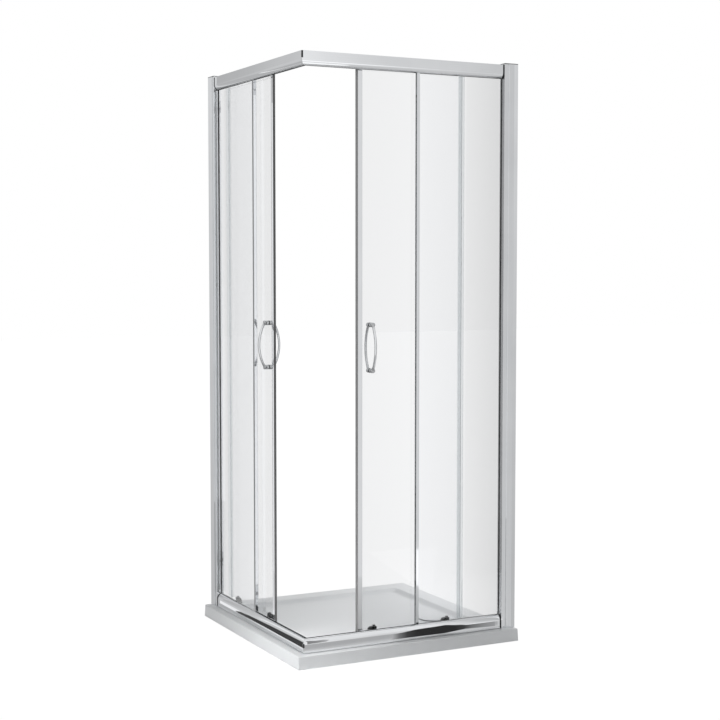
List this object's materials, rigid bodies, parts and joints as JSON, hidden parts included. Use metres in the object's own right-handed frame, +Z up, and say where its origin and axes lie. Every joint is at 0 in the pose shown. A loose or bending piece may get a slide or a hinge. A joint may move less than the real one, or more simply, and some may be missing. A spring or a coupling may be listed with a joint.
{
  "type": "corner shower enclosure",
  "caption": "Corner-entry shower enclosure on a low square tray, with fixed panes and sliding glass doors that run on grooved wheels in polished rails and open at the corner.",
  "frame": {"origin": "centre of the square tray's underside, on the floor", "axes": "+Z up; the right side faces -Y, the left side faces -X, and the walls stand at the +X and +Y edges"},
  "size_m": [0.8, 0.8, 1.89],
  "materials": {
    "tray_resin": "gloss",
    "polished_aluminium": "polished",
    "chrome": "polished",
    "clear_glass": "gloss",
    "grey_rubber": "matte",
    "magnet_rubber": "matte",
    "clear_seal": "satin",
    "dark_cap": "satin",
    "black_plastic": "satin",
    "wheel_acetal": "satin",
    "steel": "satin",
    "spring_steel": "satin"
  },
  "bodies": {
    "frame": {"shower_tray": "tray_resin", "waste_flange": "chrome", "waste_cover": "tray_resin", "wall_profile_right": "polished_aluminium", "wall_profile_left": "polished_aluminium", "wall_jamb_right": "polished_aluminium", "wall_jamb_left": "polished_aluminium", "profile_caps": "dark_cap", "bottom_rail_right": "polished_aluminium", "bottom_rail_left": "polished_aluminium", "top_rail_right": "polished_aluminium", "top_rail_left": "polished_aluminium", "corner_brackets": "dark_cap", "rail_end_caps": "dark_cap", "sill_seals": "grey_rubber", "frame_screws": "steel", "fixed_glass_right": "clear_glass", "fixed_glass_left": "clear_glass", "glazing_gaskets": "grey_rubber", "fixed_edge_strips": "polished_aluminium", "door_stops": "grey_rubber"},
    "door_right": {"door_glass_right": "clear_glass", "door_edge_profile_right": "polished_aluminium", "magnet_seal_right": "magnet_rubber", "trailing_seal_right": "clear_seal", "outer_handle_right": "chrome", "inner_handle_right": "chrome", "handle_studs_right": "steel", "handle_washers_right": "grey_rubber", "roller_bolts_right": "black_plastic", "top_hangers_right": "black_plastic", "roller_housings_right": "black_plastic", "release_spring_front_right": "spring_steel", "release_spring_rear_right": "spring_steel"},
    "top_wheel_front_right": {"top_wheel_front_right": "wheel_acetal"},
    "release_front_right": {"release_slider_front_right": "black_plastic"},
    "bottom_wheel_front_right": {"bottom_wheel_front_right": "wheel_acetal"},
    "top_wheel_rear_right": {"top_wheel_rear_right": "wheel_acetal"},
    "release_rear_right": {"release_slider_rear_right": "black_plastic"},
    "bottom_wheel_rear_right": {"bottom_wheel_rear_right": "wheel_acetal"},
    "door_left": {"door_glass_left": "clear_glass", "door_edge_profile_left": "polished_aluminium", "magnet_seal_left": "magnet_rubber", "trailing_seal_left": "clear_seal", "outer_handle_left": "chrome", "inner_handle_left": "chrome", "handle_studs_left": "steel", "handle_washers_left": "grey_rubber", "roller_bolts_left": "black_plastic", "top_hangers_left": "black_plastic", "roller_housings_left": "black_plastic", "release_spring_front_left": "spring_steel", "release_spring_rear_left": "spring_steel"},
    "top_wheel_front_left": {"top_wheel_front_left": "wheel_acetal"},
    "release_front_left": {"release_slider_front_left": "black_plastic"},
    "bottom_wheel_front_left": {"bottom_wheel_front_left": "wheel_acetal"},
    "top_wheel_rear_left": {"top_wheel_rear_left": "wheel_acetal"},
    "release_rear_left": {"release_slider_rear_left": "black_plastic"},
    "bottom_wheel_rear_left": {"bottom_wheel_rear_left": "wheel_acetal"}
  },
  "joints": [
    {"name": "door_right_slide", "type": "slide", "parent": "frame", "child": "door_right", "axis": [1, 0, 0], "range_m": [-0.1661, 0.128]},
    {"name": "top_wheel_front_right_spin", "type": "hinge", "parent": "door_right", "child": "top_wheel_front_right", "pos_m": [-0.104, -0.3305, 1.872], "axis": [0, 1, 0], "continuous": true},
    {"name": "release_front_right_lift", "type": "slide", "parent": "door_right", "child": "release_front_right", "axis": [0, 0, 1], "range_m": [0, 0.0045], "stiffness_N_per_m": 200, "springref_m": -0.01, "deforming": ["release_spring_front_right"]},
    {"name": "bottom_wheel_front_right_spin", "type": "hinge", "parent": "release_front_right", "child": "bottom_wheel_front_right", "pos_m": [-0.104, -0.3305, 0.0553], "axis": [0, 1, 0], "continuous": true},
    {"name": "top_wheel_rear_right_spin", "type": "hinge", "parent": "door_right", "child": "top_wheel_rear_right", "pos_m": [0.163, -0.3305, 1.872], "axis": [0, 1, 0], "continuous": true},
    {"name": "release_rear_right_lift", "type": "slide", "parent": "door_right", "child": "release_rear_right", "axis": [0, 0, 1], "range_m": [0, 0.0045], "stiffness_N_per_m": 200, "springref_m": -0.01, "deforming": ["release_spring_rear_right"]},
    {"name": "bottom_wheel_rear_right_spin", "type": "hinge", "parent": "release_rear_right", "child": "bottom_wheel_rear_right", "pos_m": [0.163, -0.3305, 0.0553], "axis": [0, 1, 0], "continuous": true},
    {"name": "door_left_slide", "type": "slide", "parent": "frame", "child": "door_left", "axis": [0, 1, 0], "range_m": [-0.2461, 0.048]},
    {"name": "top_wheel_front_left_spin", "type": "hinge", "parent": "door_left", "child": "top_wheel_front_left", "pos_m": [-0.3305, -0.024, 1.872], "axis": [-1, 0, 0], "continuous": true},
    {"name": "release_front_left_lift", "type": "slide", "parent": "door_left", "child": "release_front_left", "axis": [0, 0, 1], "range_m": [0, 0.0045], "stiffness_N_per_m": 200, "springref_m": -0.01, "deforming": ["release_spring_front_left"]},
    {"name": "bottom_wheel_front_left_spin", "type": "hinge", "parent": "release_front_left", "child": "bottom_wheel_front_left", "pos_m": [-0.3305, -0.024, 0.0553], "axis": [-1, 0, 0], "continuous": true},
    {"name": "top_wheel_rear_left_spin", "type": "hinge", "parent": "door_left", "child": "top_wheel_rear_left", "pos_m": [-0.3305, 0.243, 1.872], "axis": [-1, 0, 0], "continuous": true},
    {"name": "release_rear_left_lift", "type": "slide", "parent": "door_left", "child": "release_rear_left", "axis": [0, 0, 1], "range_m": [0, 0.0045], "stiffness_N_per_m": 200, "springref_m": -0.01, "deforming": ["release_spring_rear_left"]},
    {"name": "bottom_wheel_rear_left_spin", "type": "hinge", "parent": "release_rear_left", "child": "bottom_wheel_rear_left", "pos_m": [-0.3305, 0.243, 0.0553], "axis": [-1, 0, 0], "continuous": true}
  ],
  "couplings": [
    {"joint": "top_wheel_front_right_spin", "follows": "door_right_slide", "rad_per_m": 142.86},
    {"joint": "bottom_wheel_front_right_spin", "follows": "door_right_slide", "rad_per_m": 142.86},
    {"joint": "top_wheel_rear_right_spin", "follows": "door_right_slide", "rad_per_m": 142.86},
    {"joint": "bottom_wheel_rear_right_spin", "follows": "door_right_slide", "rad_per_m": 142.86},
    {"joint": "top_wheel_front_left_spin", "follows": "door_left_slide", "rad_per_m": 142.86},
    {"joint": "bottom_wheel_front_left_spin", "follows": "door_left_slide", "rad_per_m": 142.86},
    {"joint": "top_wheel_rear_left_spin", "follows": "door_left_slide", "rad_per_m": 142.86},
    {"joint": "bottom_wheel_rear_left_spin", "follows": "door_left_slide", "rad_per_m": 142.86}
  ]
}
